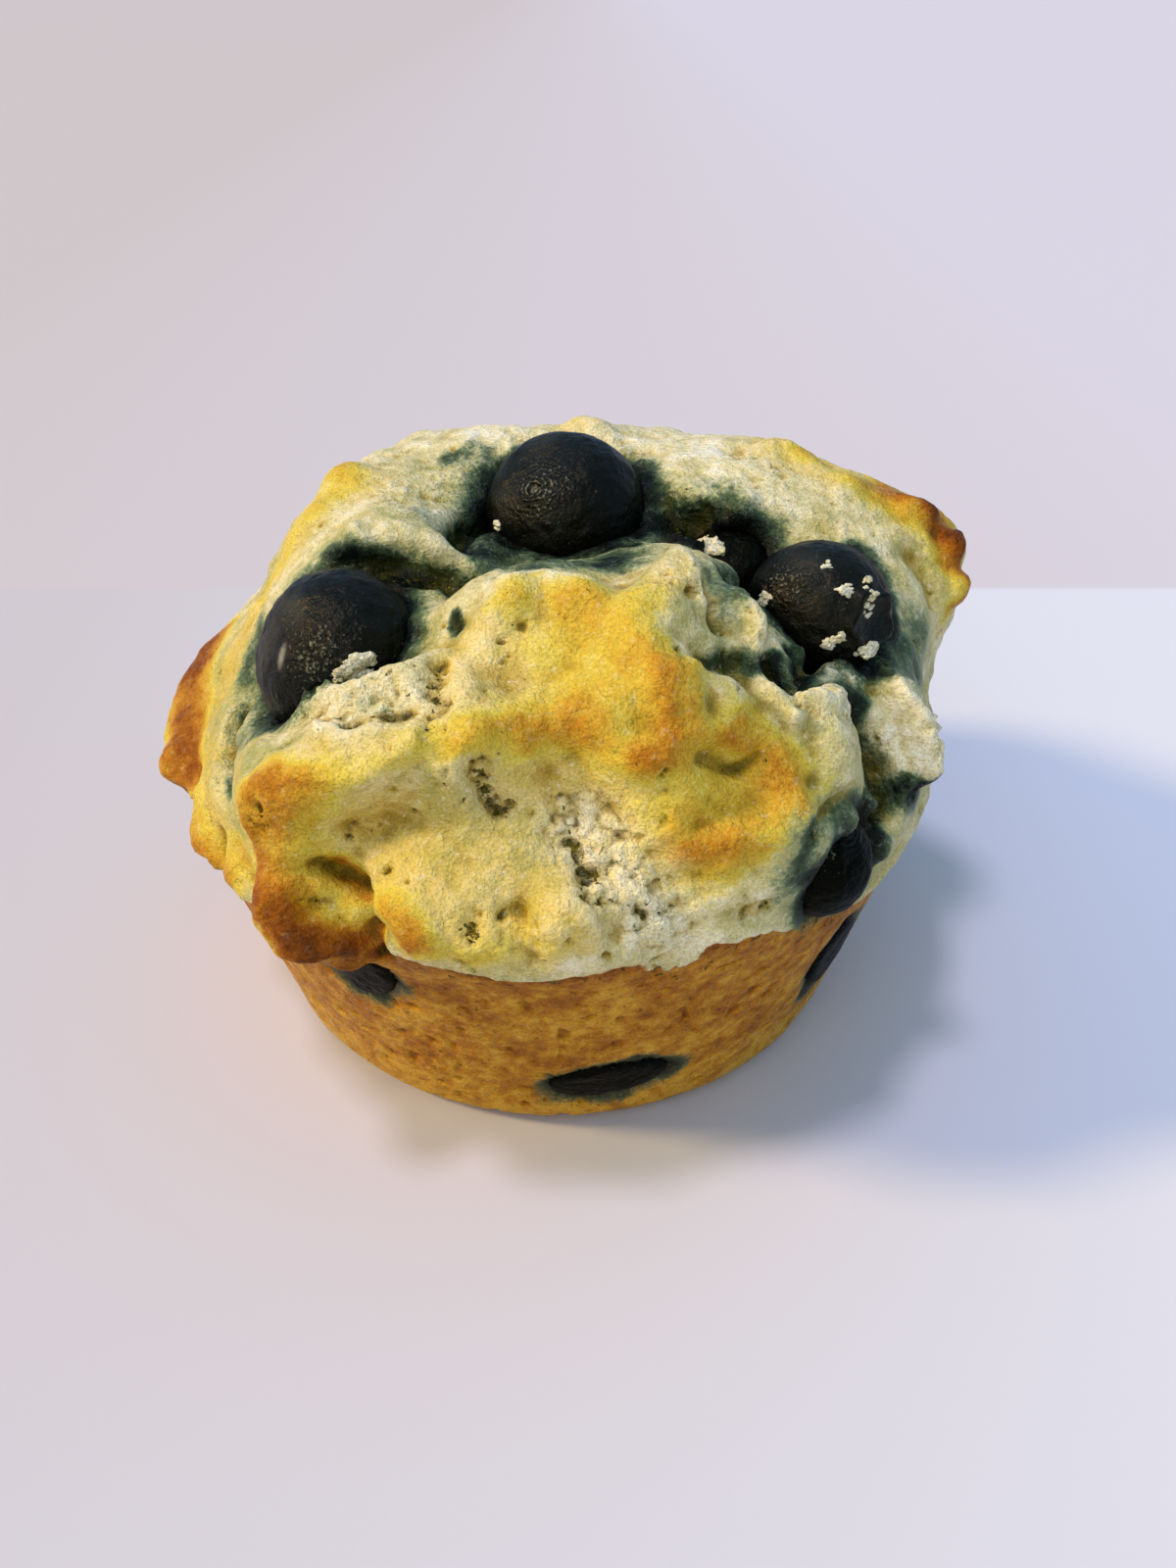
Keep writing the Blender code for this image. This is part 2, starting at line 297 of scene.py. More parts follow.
def berry_skin(name, gloss):
    """Baked blueberry skin: thin, blue-black and drawn tight, with painted glints where it is wrinkled."""
    f = Finish(name)
    bloom, wax_and_sheen, scar, glint = (
        f.add(PAINTED, out="Fac", attribute_name=mark) for mark in ("bloom", "wax_and_sheen", "scar", "glint")
    )
    # blotches of 4 mm, wrinkles of 0.9 mm and leathery grain of 0.26 mm
    blotch, wrinkles, leather = (
        f.add(NOISE, {"Vector": f.places, "Scale": per(size), "Detail": detail, "Roughness": 0.6}, "Fac")
        for size, detail in ((4.0, 3), (0.9, 4), (0.26, 2))
    )
    # bluer where there is bloom, grey with wax and painted sheen, and the pale dot of the scar
    dot = f.add(SPREAD, {VALUE: scar, LOW: 0.26, HIGH: 0.12, AT_HIGH: 0.8})
    colour = f.add(RAMP, {"Fac": blotch}, stops=((0.38, "#050704"), (0.66, "#0d120b")))
    for share, over in ((bloom, "#0f1f20"), (wax_and_sheen, "#98937f"), (dot, "#8f8c74")):
        colour = f.add(MIX, {SHARE: share, UNDER: colour, OVER: over}, **COLOURS)
    # wrinkles drawn round the scar in rings 0.42 mm apart
    turns = f.add(MATH, {0: wrinkles, 1: 9.0}, **TIMES)
    turns = f.add(MATH, {0: scar, 1: 2 * math.pi / 0.42, 2: turns}, **TIMES_PLUS)
    rings = f.add(MATH, {0: turns}, operation="SINE")
    drawn = f.add(SPREAD, {VALUE: scar, LOW: 3.0, HIGH: 0.4, AT_HIGH: 0.30})
    rings = f.add(MATH, {0: rings, 1: drawn}, **TIMES)
    # where it is most wrinkled the skin shows pale flecks, painted glints which follow the rings
    painted_glints = f.add(MATH, {0: rings, 1: 0.35, 2: leather}, **TIMES_PLUS)
    painted_glints = f.add(MATH, {0: painted_glints, 1: f.add(MATH, {0: glint, 1: 0.16}, **TIMES)}, **PLUS)
    painted_glints = f.add(SPREAD, {VALUE: painted_glints, LOW: 0.68, HIGH: 0.80})
    colour = f.add(MIX, {SHARE: painted_glints, UNDER: colour, OVER: "#6e6c58"}, **COLOURS)
    worn = f.add(SPREAD, {VALUE: glint, AT_LOW: 0.3, AT_HIGH: 1.1})
    height = f.add(MATH, {0: leather, 1: worn, 2: rings}, **TIMES_PLUS)
    fine = f.add(BUMP, {"Height": height, "Strength": 1, "Distance": 0.16 * MM}, "Normal")
    normal = f.add(BUMP, {"Height": wrinkles, "Strength": 1, "Distance": 0.30 * MM, "Normal": fine}, "Normal")
    f.feed(
        f.shader,
        {
            "Base Color": colour,
            "Normal": normal,
            "Roughness": f.add(SPREAD, {VALUE: painted_glints, AT_LOW: 0.36, AT_HIGH: 0.12}),
            "Specular IOR Level": gloss,
            "Specular Tint": "#fff2d6",
        },
    )
    return f.material


def paper_floor():
    """A matt sheet of pale paper on a pale table, both painted a little duller to the left as painted shade,
    where less light falls.
    """
    f = Finish("pale_paper")
    split = {name: f.add("ShaderNodeSeparateXYZ", {"Vector": f.places}, name) for name in "XY"}
    # painted shade: darker towards the left
    near = f.add(SPREAD, {VALUE: split["X"], LOW: -70 * MM, HIGH: 60 * MM})
    near = f.add(MIX, {SHARE: near, UNDER: "#c9c2c0", OVER: "#d9d9dc"}, **COLOURS)
    far = f.add(SPREAD, {VALUE: split["X"], LOW: -160 * MM, HIGH: 140 * MM})
    far = f.add(MIX, {SHARE: far, UNDER: "#c9bfb9", OVER: "#d3cdd0"}, **COLOURS)
    # the sheet's edge, behind the muffin
    edge = f.add(SPREAD, {VALUE: split["Y"], LOW: 74.2 * MM, HIGH: 75.2 * MM})
    colour = f.add(MIX, {SHARE: edge, UNDER: near, OVER: far}, **COLOURS)
    f.feed(f.shader, {"Base Color": colour, "Roughness": 0.85, "Specular IOR Level": 0.2})
    return f.material


def add_floor():
    bpy.ops.object.select_all(action="DESELECT")
    bpy.ops.mesh.primitive_plane_add(size=6, location=(0, 0, 0))
    floor = bpy.context.object
    floor.name = "floor"
    floor.data.materials.append(paper_floor())


# ------------------------------ clay: a mesh as arrays


def outline_at(rise):
    """The plain outline's radius and height at that address."""
    if rise < 0:
        height = RIM_HEIGHT * (1 + rise)
        return FOOT_RADIUS + (RIM_RADIUS - FOOT_RADIUS) * height / RIM_HEIGHT, height
    angle = min(rise, 1.0) * math.pi / 2
    power = 2 / CROWN_FULLNESS
    return (
        RIM_RADIUS * max(math.cos(angle), 0.0) ** power,
        RIM_HEIGHT + CROWN_RISE * math.sin(angle) ** power,
    )


def plain_place(azimuth, rise):
    """The address on the plain outline, and the outward direction there."""
    step = 0.01
    low, high = outline_at(rise - step), outline_at(min(rise + step, 1.0))
    radius, height = outline_at(rise)
    turn = math.radians(azimuth)
    slope = Vector((high[1] - low[1], low[0] - high[0])).normalized()
    outward = Vector((math.cos(turn) * slope.x, math.sin(turn) * slope.x, slope.y))
    return Vector((radius * math.cos(turn), radius * math.sin(turn), height)), outward


def vectors(items, key):
    """That vector of all the items, as an array."""
    found = np.empty((len(items), 3), np.float32)
    items.foreach_get(key, found.ravel())
    return found.astype(float)


class Clay:
    """A piece while it is worked: its points and normals as arrays, in millimetres."""

    def __init__(self, name, node):
        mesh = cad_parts[node].data.copy()
        mesh.transform(Matrix.Scale(1 / MM, 4))
        # corners that coincide are joined, so that the mesh is closed
        shape = bmesh.new()
        shape.from_mesh(mesh)
        bmesh.ops.remove_doubles(shape, verts=shape.verts, dist=0.002)
        shape.to_mesh(mesh)
        shape.free()
        self.object = bpy.data.objects.new(name, mesh)
        self.node = node
        bpy.context.scene.collection.objects.link(self.object)
        self.read()

    def read(self):
        mesh = self.object.data
        self.places = vectors(mesh.vertices, "co")
        self.normals = vectors(mesh.vertex_normals, "vector")
        self.edges = np.empty((len(mesh.edges), 2), np.int32)
        mesh.edges.foreach_get("vertices", self.edges.ravel())

    def write(self):
        mesh = self.object.data
        mesh.vertices.foreach_set("co", self.places.astype(np.float32).ravel())
        mesh.update()
        self.normals = vectors(mesh.vertex_normals, "vector")

    def tree(self):
        """Its surface as it is now, to cast rays at and to find the nearest place on."""
        mesh = self.object.data
        points = [vertex.co.copy() for vertex in mesh.vertices]
        return BVHTree.FromPolygons(points, [face.vertices[:] for face in mesh.polygons])

    def change(self, kind, **settings):
        """Applies a modifier of that kind."""
        bpy.ops.object.select_all(action="DESELECT")
        self.object.select_set(True)
        bpy.context.view_layer.objects.active = self.object
        made = self.object.modifiers.new(kind, kind)
        for key, value in settings.items():
            setattr(made, key, value)
        bpy.ops.object.modifier_apply(modifier=made.name)
        self.read()

    def even(self, voxel):
        """Meshes it again, evenly."""
        self.change("REMESH", mode="VOXEL", voxel_size=voxel)

    def thin(self, most):
        """Leaves at most that many triangles, taken from where it is smoothest."""
        triangles = sum(len(face.vertices) - 2 for face in self.object.data.polygons)
        self.change("DECIMATE", ratio=min(1.0, most / triangles))

    def averaged(self, values, times, share=0.5):
        """Values at the points, blurred over their neighbours."""
        values = np.array(values, float)
        flat = values.reshape(len(values), -1)
        first, second = self.edges[:, 0], self.edges[:, 1]
        count = np.bincount(self.edges.ravel(), minlength=len(flat))[:, None]
        for _ in range(times):
            around = np.stack(
                [
                    np.bincount(first, flat[second, axis], len(flat))
                    + np.bincount(second, flat[first, axis], len(flat))
                    for axis in range(flat.shape[1])
                ],
                axis=1,
            )
            flat = flat + share * (around / count - flat)
        return flat.reshape(values.shape)

    def smooth(self, times, where=None):
        soft = self.averaged(self.places, times)
        share = 1.0 if where is None else where[:, None]
        self.places = self.places + share * (soft - self.places)
        self.write()

    def push(self, amount):
        """Moves each point outward by its own amount."""
        self.places = self.places + self.normals * amount[:, None]
        self.write()

    def paint(self, name, values):
        layer = self.object.data.attributes.new(name, "FLOAT", "POINT")
        layer.data.foreach_set("value", values.astype(np.float32))

    def finish(self, material, slot):
        """Brings it to metres and hands it to the frame in place of its node."""
        mesh = self.object.data
        mesh.transform(Matrix.Scale(MM, 4))
        mesh.materials.clear()
        mesh.materials.append(material)
        mesh.shade_smooth()
        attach(self.object, "root")
        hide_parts(self.node)


def grain(places, size, shift=0.0):
    """Noise at each place, its features about size millimetres across. A shift gives another pattern."""
    return np.array([noise.noise(Vector(p) / size + Vector([shift] * 3)) for p in places])


def ridged(places, size):
    """Noise with sharp ridges at each place."""
    return np.array([noise.ridged_multi_fractal(Vector(p) / size, 1.0, 2.1, 4, 1.0, 2.0) for p in places])


def cell_edges(places, size):
    """0 at the middle of each cell, up to 1 on the borders between cells."""
    found = np.empty(len(places))
    for i, place in enumerate(places):
        near = noise.voronoi(Vector(place) / size)[0]
        found[i] = near[0] / max(near[1], 1e-6)
    return found


def from_line(places, line):
    """Each place's distance to the line through the given points."""
    least = np.full(len(places), 1e9)
    points = [np.array(p, float) for p in line]
    for start, end in zip(points, points[1:] or points):
        along = end - start
        length = along @ along
        share = np.clip((places - start) @ along / length, 0, 1) if length > 0 else np.zeros(len(places))
        least = np.minimum(least, np.linalg.norm(places - start - share[:, None] * along, axis=1))
    return least


def past(values, start, span):
    """How far the values are past the start, from 0 up to 1 over the span."""
    return np.clip((values - start) / span, 0, 1)


def bell(values, width):
    """1 at 0, falling to a third at the width and on towards 0."""
    return np.exp(-((values / width) ** 2))


def fading(distance, reach):
    """1 at no distance, and 0 from the reach on."""
    share = np.clip(1 - (distance / reach) ** 2, 0, 1)
    return share * share


# ------------------------------ the crumb

# Strokes on the crown: addresses, and reach and rise in millimetres. They sharpen what the solid has.
FOLDS = [
    # the flange hanging over the wall on the left, notched
    ([(-178, 0.14), (-170, 0.05), (-163, 0.0)], 3.4, 1.0),
    ([(-163, 0.01), (-158, -0.02)], 2.2, 0.8),
    ([(-152, 0.04), (-149, -0.03)], 1.2, -1.8),
    ([(-145, 0.05), (-142, -0.01)], 2.2, 0.8),
    ([(-138, 0.04), (-136, -0.04)], 1.1, -1.5),
    ([(-133, 0.0), (-130, -0.05)], 2.0, 0.8),
    # the dark crease beside it
    ([(-149, 0.25), (-145, 0.2), (-138, 0.16)], 1.2, -1.6),
    # the lobe's fat rolled edge, its tip and the crack in it
    ([(-105, 0.36), (-111, 0.31), (-117, 0.27), (-121, 0.22), (-121, 0.14), (-121, 0.06)], 4.0, 0.7),
    ([(-116, 0.2), (-117, 0.11)], 4.4, 0.6),
    ([(-105, 0.37), (-111, 0.325), (-117, 0.29)], 1.3, 0.4),
    ([(-127, 0.22), (-126, 0.12), (-124, 0.04)], 1.3, -0.7),
    ([(-121, 0.04), (-117, 0.0), (-113.5, -0.03)], 2.6, 1.5),
    ([(-119, 0.08), (-117, 0.055), (-115.5, 0.06)], 0.55, -1.0),
    ([(-117, 0.055), (-117.5, 0.03)], 0.5, -0.9),
    # the crease where it meets the low lump
    ([(-117, 0.11), (-113.5, 0.09), (-111, 0.07), (-110, 0.03), (-110, -0.03)], 1.3, -2.2),
    # the low lumps along the front
    ([(-106.5, 0.09), (-104, 0.07), (-99, 0.05)], 2.8, 1.1),
    ([(-96, 0.05), (-91, 0.05)], 2.6, 0.7),
    ([(-89, 0.1), (-86, 0.1)], 2.8, 1.0),
    ([(-100, 0.06), (-99, 0.02)], 0.9, -0.8),
    ([(-93, 0.1), (-92, 0.02)], 1.0, -0.9),
    ([(-84, 0.09), (-82, 0.03)], 1.2, -1.0),
    # the middle's ridges, and the hollows between them
    ([(-99, 0.64), (-91, 0.675), (-84, 0.65)], 2.4, 1.0),
    ([(-99, 0.64), (-101, 0.56), (-102, 0.5)], 2.6, 0.6),
    ([(-84, 0.65), (-79, 0.6), (-75, 0.54), (-73, 0.48)], 3.0, 0.9),
    ([(-73, 0.48), (-72, 0.4), (-76, 0.36)], 2.6, 0.8),
    ([(-98, 0.4), (-93, 0.42), (-87, 0.43), (-82, 0.4), (-79, 0.37)], 2.6, 0.9),
    ([(-96, 0.53), (-90, 0.52)], 2.4, -0.4),
    ([(-73.5, 0.51), (-71, 0.49)], 0.8, -0.5),
    ([(-89, 0.35), (-86, 0.3)], 2.4, -0.5),
    ([(-70, 0.34), (-66.5, 0.33)], 1.4, -1.2),
    ([(-64.5, 0.335), (-62.5, 0.33)], 1.0, -0.8),
    ([(-66, 0.45)], 3.6, 1.0),
    ([(-69, 0.4), (-69.5, 0.46)], 0.9, -0.9),
    ([(-67, 0.37), (-62, 0.36), (-61, 0.3), (-61, 0.23), (-65, 0.18), (-70, 0.18)], 2.8, 0.9),
    ([(-71, 0.25), (-68, 0.23)], 1.4, -0.6),
    ([(-57, 0.26), (-58, 0.2), (-60, 0.15)], 1.1, -0.8),
    # the tongue with its crack, and the valley beside it
    ([(-62, 0.68), (-66, 0.64), (-71, 0.6), (-75, 0.57)], 2.6, 0.9),
    ([(-60, 0.685), (-59, 0.65), (-62, 0.6)], 1.2, 0.8),
    ([(-56, 0.66), (-58, 0.61), (-60, 0.56)], 1.2, -1.3),
    ([(-71, 0.635), (-66, 0.61), (-63, 0.61)], 0.4, -0.8),
    ([(-66, 0.5), (-61, 0.49), (-58, 0.48)], 1.6, -1.6),
    # the right berry's cavity: a ragged lip, and a strand pulled across from it
    ([(-56, 0.66), (-56, 0.63), (-50, 0.615), (-47, 0.6)], 0.9, 0.9),
    ([(-49, 0.665), (-42, 0.65), (-30, 0.69), (-16, 0.78)], 1.6, -1.8),
    ([(-54, 0.6), (-54, 0.54), (-56, 0.5), (-57, 0.46), (-57, 0.41), (-57, 0.36)], 1.0, 1.9),
    ([(-54, 0.48), (-53, 0.45), (-50, 0.44), (-47, 0.44)], 1.6, -2.4),
    ([(-46, 0.47), (-40, 0.45), (-34, 0.45)], 1.5, -1.6),
    ([(-53, 0.4), (-50, 0.375), (-47, 0.37)], 1.9, 0.9),
    ([(-44, 0.11), (-43, 0.05), (-43, 0.0)], 1.0, 1.0),
    ([(-41, 0.42), (-38, 0.4)], 1.8, 1.2),
    ([(-52, 0.29), (-51, 0.2), (-51, 0.14)], 2.4, 0.7),
    # the green valley down the right side, and the torn ridge beyond it
    ([(-42, 0.34), (-42, 0.27), (-41, 0.18), (-41, 0.12), (-41, 0.07)], 1.6, -3.2),
    ([(-33, 0.31), (-34, 0.2), (-36, 0.11)], 1.5, 2.1),
    ([(-44, 0.13), (-42, 0.08), (-41.5, 0.02)], 0.9, 1.2),
    ([(-57, 0.19), (-53, 0.2), (-49, 0.16)], 1.5, -1.2),
    ([(-47, 0.12), (-46, 0.05)], 1.2, -1.2),
    # the ledge under the left berry, its lip and the hollow below it
    ([(-126, 0.4), (-118, 0.43), (-110, 0.48), (-107, 0.53)], 1.7, 1.5),
    ([(-115, 0.39), (-108, 0.41)], 1.2, -1.3),
    ([(-118, 0.36), (-108, 0.37), (-104, 0.38)], 1.5, 0.6),
    # the pocket torn between the crown berry and the right ones
    ([(5, 0.86), (-3, 0.83), (-8, 0.79)], 2.2, -2.2),
    ([(-6, 0.775), (-2, 0.73)], 1.2, 0.8),
    # the pit left of the crown berry, and the trough behind the left one
    ([(172, 0.92), (-170, 0.9), (-150, 0.875), (-138, 0.85)], 1.9, -2.4),
    ([(-152, 0.64), (-143, 0.69), (-137, 0.74), (-130, 0.78), (-122, 0.78)], 1.9, -1.9),
    ([(-155, 0.71), (-148, 0.72)], 1.2, 0.9),
    ([(-108, 0.635), (-106, 0.62)], 0.8, -0.5),
    # the left shoulder, the right one and the knob's bumps
    ([(162, 0.66), (168, 0.7)], 2.6, 0.7),
    ([(8, 0.55), (15, 0.6), (22, 0.64)], 2.6, 0.9),
    ([(80, 0.77), (76, 0.79)], 2.2, 0.8),
    ([(6, 0.43), (6, 0.39)], 2.0, 1.1),
    ([(3, 0.34), (1, 0.33)], 1.6, 1.2),
    ([(-1, 0.28), (-2, 0.26)], 1.5, 1.4),
    ([(5, 0.37), (2, 0.36), (-2, 0.34)], 0.7, -0.9),
    ([(-4, 0.4), (-6, 0.32)], 1.8, -0.9),
]

# Cracks and gaps where the crumb shows: addresses, reach, strength
CRACKS = [
    ([(-106, 0.53), (-105, 0.48), (-104.5, 0.43), (-103.5, 0.39)], 1.1, 0.75),
    ([(-118, 0.39), (-114, 0.375)], 0.9, 0.8),
    ([(-112, 0.4), (-107, 0.42)], 0.9, 0.6),
    ([(-98.5, 0.345), (-97.5, 0.315), (-96, 0.285)], 1.3, 0.8),
    ([(-95.5, 0.285), (-92.5, 0.27)], 0.8, 0.6),
    ([(-86.5, 0.21), (-85, 0.17), (-85.5, 0.14), (-84, 0.11)], 1.2, 0.8),
    ([(-80, 0.08), (-79.5, 0.06)], 0.8, 0.8),
    ([(-98, 0.1), (-97.5, 0.07)], 0.8, 1.0),
    ([(-91.5, 0.06), (-90.5, 0.06)], 0.6, 0.9),
    ([(-102, 0.31)], 0.5, 0.8),
    ([(-108, 0.14)], 0.6, 0.9),
    ([(-122, 0.21), (-122.5, 0.17)], 0.6, 0.9),
    ([(-73, 0.42), (-72, 0.4)], 0.7, 0.6),
    ([(-76.5, 0.325), (-75.5, 0.33)], 0.6, 0.8),
    ([(-70, 0.51), (-70.5, 0.49)], 0.6, 0.8),
    ([(-67, 0.05), (-65, 0.04)], 1.2, 0.6),
    ([(-71, 0.635), (-66, 0.61), (-63, 0.61)], 0.5, 0.7),
    ([(-119, 0.08), (-117, 0.055)], 0.3, 0.6),
    ([(-134, 0.52), (-128, 0.43)], 1.0, 0.9),
    ([(-146, 0.68), (-137, 0.74), (-131, 0.78)], 2.0, 0.7),
    ([(-10, 0.79), (0, 0.83)], 1.8, 0.7),
    ([(-77.5, -0.01), (-77.5, -0.1)], 0.6, 0.9),
    ([(-45, 0.3), (-43, 0.2)], 1.0, 0.7),
]

# Where the crumb tore open: addresses, reach, strength
TORN = [
    ([(-86, 0.24), (-82, 0.17), (-78, 0.08)], 4.2, 1.0),
    ([(-79, 0.07), (-76, 0.0), (-75, -0.06)], 2.4, 0.6),
    ([(-53, 0.41), (-48, 0.35)], 2.8, 1.0),
    ([(-41, 0.42), (-38, 0.4)], 2.0, 0.9),
    ([(-33, 0.32), (-34, 0.2), (-37, 0.1)], 1.9, 1.0),
    ([(-8, 0.8), (-5, 0.76)], 2.2, 0.8),
    ([(-128, 0.36), (-112, 0.42)], 3.6, 0.4),
    ([(10, 0.9), (60, 0.86), (110, 0.86), (150, 0.84)], 4.5, 0.5),
    ([(-126, 0.43), (-117, 0.44), (-108, 0.47)], 2.8, 0.7),
    ([(-104, 0.45), (-97, 0.3)], 1.8, 0.5),
    ([(-61, 0.66), (-54, 0.62)], 1.2, 0.6),
    ([(-56, 0.5), (-56, 0.4)], 1.0, 0.5),
    ([(-120, 0.72), (-100, 0.76)], 3.0, 0.45),
    ([(20, 0.72), (8, 0.7)], 3.2, 0.5),
    ([(60, 0.88), (20, 0.84), (0, 0.86)], 4.0, 0.4),
    ([(60, 0.8), (100, 0.8)], 4.0, 0.3),
    ([(172, 0.76), (-166, 0.78)], 2.4, 0.4),
    ([(176, 0.8), (-178, 0.85)], 3.0, 0.5),
]

# Where it browned: addresses, reach, strength
BROWNED = [
    ([(-97, 0.63), (-91, 0.655), (-86, 0.64)], 2.8, 0.36),
    ([(-80, 0.6), (-78, 0.54), (-74, 0.49)], 5.0, 0.4),
    ([(-89, 0.54), (-83, 0.47), (-80, 0.38)], 6.0, 0.38),
    ([(-99, 0.4), (-94, 0.41), (-86, 0.42)], 3.6, 0.46),
    ([(-96, 0.405), (-91, 0.41)], 1.5, 0.2),
    ([(-74, 0.44), (-75, 0.38), (-79, 0.35)], 3.0, 0.22),
    ([(-80, 0.36), (-77, 0.34)], 1.6, 0.18),
    ([(-71, 0.35), (-67, 0.26), (-73, 0.2)], 7.0, 0.42),
    ([(-65, 0.37), (-61, 0.31), (-60, 0.24)], 3.4, 0.42),
    ([(-66, 0.24), (-68, 0.19), (-74, 0.19)], 4.2, 0.34),
    ([(-70, 0.18), (-66, 0.17)], 1.5, 0.16),
    ([(-103, 0.37), (-111, 0.32), (-117, 0.28)], 2.0, 0.24),
    ([(-117, 0.27), (-121, 0.2), (-121, 0.1)], 4.0, 0.52),
    ([(-122, 0.27), (-125, 0.16), (-124, 0.07)], 2.8, 0.5),
    ([(-117, 0.2), (-118, 0.12)], 3.4, 0.34),
    ([(-119, 0.05), (-115, 0.01)], 4.6, 0.8),
    ([(-117, 0.02), (-113, -0.01)], 2.6, 0.7),
    ([(-116, 0.0), (-111, -0.01)], 2.4, 0.75),
    ([(-116, 0.11), (-112, 0.06), (-110, 0.02)], 2.2, 0.8),
    ([(-107, 0.1), (-104, 0.06)], 3.2, 0.55),
    ([(-104, 0.05), (-97, 0.02)], 2.0, 0.35),
    ([(-96, 0.05), (-90, 0.04)], 2.4, 0.2),
    ([(-179, 0.2), (-168, 0.09), (-158, 0.03)], 4.8, 0.88),
    ([(-176, 0.1), (-165, 0.02)], 3.0, 0.3),
    ([(-156, 0.06), (-146, 0.03), (-134, 0.0)], 3.2, 0.62),
    ([(-131, 0.06), (-126, 0.02)], 2.4, 0.55),
    ([(164, 0.68), (172, 0.7), (-180, 0.66)], 3.4, 0.5),
    ([(-174, 0.58), (-170, 0.48)], 2.4, 0.4),
    ([(8, 0.46), (6, 0.38), (2, 0.34)], 5.0, 0.72),
    ([(9, 0.52), (12, 0.44)], 4.0, 0.4),
    ([(4, 0.38), (1, 0.32)], 2.4, 0.6),
    ([(-1, 0.3), (-3, 0.25)], 2.8, 0.74),
    ([(14, 0.57), (18, 0.63)], 2.6, 0.42),
    ([(26, 0.28), (40, 0.2)], 7.0, 0.34),
    ([(44, 0.06), (56, 0.03)], 4.4, 0.4),
    ([(70, 0.04), (86, 0.06)], 4.0, 0.34),
    ([(68, 0.42), (84, 0.46)], 8.0, 0.26),
    ([(98, 0.02), (112, 0.06), (128, 0.03)], 5.0, 0.44),
    ([(108, 0.28), (120, 0.42)], 8.0, 0.3),
    ([(116, 0.4)], 3.0, 0.22),
    ([(138, 0.16), (146, 0.08)], 7.0, 0.34),
    ([(148, 0.06), (166, 0.05), (176, 0.1)], 5.0, 0.4),
]

# Where the crust stayed a clear yellow
YOLK = [
    ([(-168, 0.5), (-155, 0.25), (-140, 0.15)], 5.0, 0.35),
    ([(-114, 0.22), (-98, 0.22), (-86, 0.26)], 8.0, 0.5),
    ([(-102, 0.08), (-84, 0.1)], 6.0, 0.4),
    ([(-103, 0.54), (-101, 0.44), (-90, 0.36), (-84, 0.28)], 4.4, 0.7),
    ([(-96, 0.6), (-90, 0.5)], 4.0, 0.6),
    ([(-75, 0.6), (-62, 0.65)], 2.4, 0.7),
    ([(-82, 0.3), (-79, 0.24), (-76, 0.14)], 3.6, 0.8),
    ([(-66, 0.4), (-68, 0.28), (-72, 0.12)], 4.0, 0.5),
    ([(-104, 0.06), (-96, 0.05), (-88, 0.08)], 3.6, 0.9),
    ([(-150, 0.12), (-140, 0.06), (-132, 0.02)], 3.4, 0.9),
    ([(-134, 0.3), (-129, 0.2), (-127, 0.08)], 2.2, 0.7),
    ([(-176, 0.6), (172, 0.72)], 4.6, 0.9),
    ([(-168, 0.4), (-160, 0.2)], 3.4, 0.8),
    ([(-106, 0.36), (-118, 0.3)], 2.8, 0.6),
    ([(-112, 0.24), (-112, 0.14), (-106, 0.14)], 4.0, 0.5),
    ([(12, 0.56), (22, 0.62)], 5.0, 1.0),
    ([(18, 0.52), (30, 0.58)], 5.0, 0.8),
    ([(80, 0.77)], 3.6, 0.8),
    ([(3, 0.46), (-4, 0.24)], 3.6, 0.5),
]
